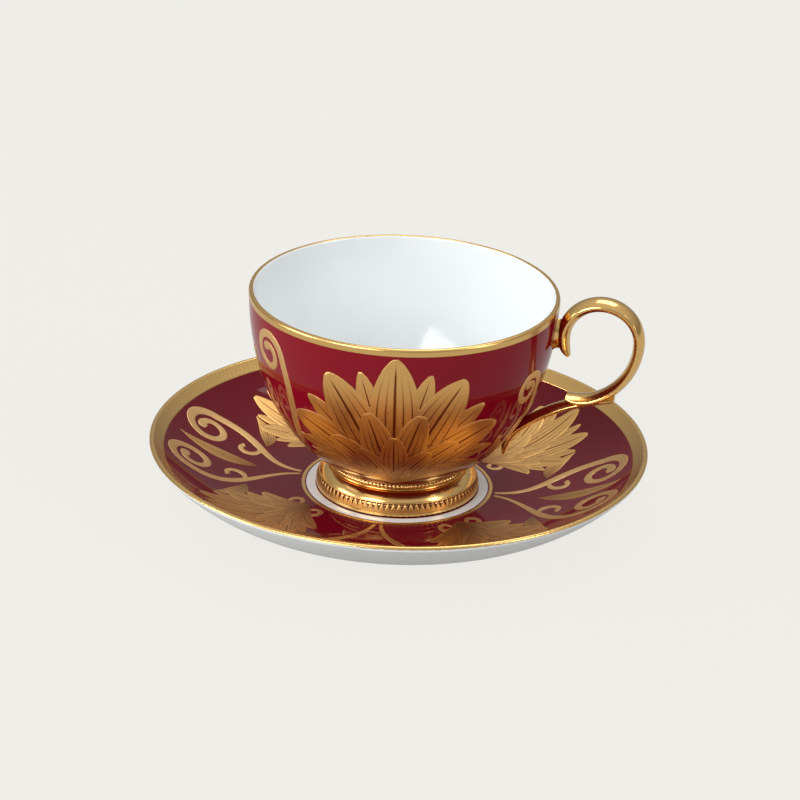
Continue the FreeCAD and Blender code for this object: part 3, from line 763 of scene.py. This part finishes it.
def floor():
    """A wide pale floor that keeps a soft shadow."""
    reach = FLOOR_REACH
    corners = [(-reach, -reach, 0), (reach, -reach, 0), (reach, reach, 0), (-reach, reach, 0)]
    mesh = bpy.data.meshes.new("floor")
    mesh.from_pydata(corners, [], [(0, 1, 2, 3)])
    thing = bpy.data.objects.new("floor", mesh)
    bpy.context.scene.collection.objects.link(thing)
    material = bpy.data.materials.new("pale_floor")
    material.use_nodes = True
    nodes, links = material.node_tree.nodes, material.node_tree.links
    principled = nodes["Principled BSDF"]
    principled.inputs["Base Color"].default_value = (0.42, 0.415, 0.40, 1)
    principled.inputs["Roughness"].default_value = 0.9
    principled.inputs["Specular IOR Level"].default_value = 0.0
    rays = nodes.new("ShaderNodeLightPath")
    glow = nodes.new("ShaderNodeEmission")
    glow.inputs["Color"].default_value = BACKGROUND
    parts = [reckon(material.node_tree, "MULTIPLY", rays.outputs[ray], share) for ray, share in GLOW_SHARES]
    strongest = parts[0]
    for part in parts[1:]:
        strongest = reckon(material.node_tree, "MAXIMUM", strongest, part)
    mix = nodes.new("ShaderNodeMixShader")
    links.new(strongest, mix.inputs[0])
    links.new(principled.outputs[0], mix.inputs[1])
    links.new(glow.outputs[0], mix.inputs[2])
    links.new(mix.outputs[0], nodes["Material Output"].inputs["Surface"])
    mesh.materials.append(material)


def lamp(name, shape, place, width, height, power):
    """A soft flat lamp that faces the cup."""
    light = bpy.data.lights.new(name, "AREA")
    light.shape = shape
    light.size, light.size_y = width, height
    light.energy = power
    thing = bpy.data.objects.new(name, light)
    bpy.context.scene.collection.objects.link(thing)
    thing.location = place
    thing.rotation_euler = (Vector(LAMP_TARGET) - Vector(place)).to_track_quat("-Z", "Y").to_euler()


def surround(low, high):
    """A surround that is dim along the horizon and grows pale overhead."""
    world = bpy.data.worlds.new("surround")
    world.use_nodes = True
    nodes, links = world.node_tree.nodes, world.node_tree.links
    place = nodes.new("ShaderNodeTexCoord")
    parts = nodes.new("ShaderNodeSeparateXYZ")
    rise = nodes.new("ShaderNodeMapRange")
    rise.inputs["To Min"].default_value = low
    rise.inputs["To Max"].default_value = high
    links.new(place.outputs["Generated"], parts.inputs[0])
    links.new(parts.outputs["Z"], rise.inputs["Value"])
    links.new(rise.outputs["Result"], nodes["Background"].inputs["Strength"])
    nodes["Background"].inputs["Color"].default_value = (1, 1, 1, 1)
    bpy.context.scene.world = world


def camera():
    """The view of the object: a long lens from a little above, with the handle turned a little nearer.
    Distance, aside and target height are millimetres, and only become metres at the end."""
    azimuth, elevation, roll = math.radians(10.0), math.radians(23.65), math.radians(2.28)
    distance, aside, target_height = 1078.0, -0.12, 34.8
    back = Vector((math.sin(azimuth) * math.cos(elevation), -math.cos(azimuth) * math.cos(elevation),
                   math.sin(elevation)))
    right = Vector((math.cos(azimuth), math.sin(azimuth), 0))
    up = back.cross(right)
    place = right * aside + Vector((0, 0, target_height)) + back * distance
    leant_right = right * math.cos(roll) + up * math.sin(roll)
    leant_up = up * math.cos(roll) - right * math.sin(roll)
    turn = Matrix((leant_right, leant_up, back)).transposed().to_4x4()
    data = bpy.data.cameras.new("camera")
    data.lens, data.sensor_width = 157.5, 36.0
    data.clip_start, data.clip_end = 0.05, 50.0
    thing = bpy.data.objects.new("camera", data)
    thing.matrix_world = Matrix.Translation(place * MM) @ turn
    bpy.context.scene.collection.objects.link(thing)
    bpy.context.scene.camera = thing


bpy.context.scene.view_settings.view_transform = "Standard"
floor()
surround(0.22, 0.74)
lamp("softbox_front", "ELLIPSE", (-0.60, -1.20, 0.78), 0.9, 0.75, 11.0)
lamp("window_left", "RECTANGLE", (-1.4, -0.55, 0.5), 0.7, 0.7, 9.5)
lamp("strip_right", "RECTANGLE", (1.2, -0.4, 0.7), 0.3, 0.8, 4.0)
lamp("above", "RECTANGLE", (0.1, 0.5, 1.4), 0.9, 0.7, 6.0)
camera()
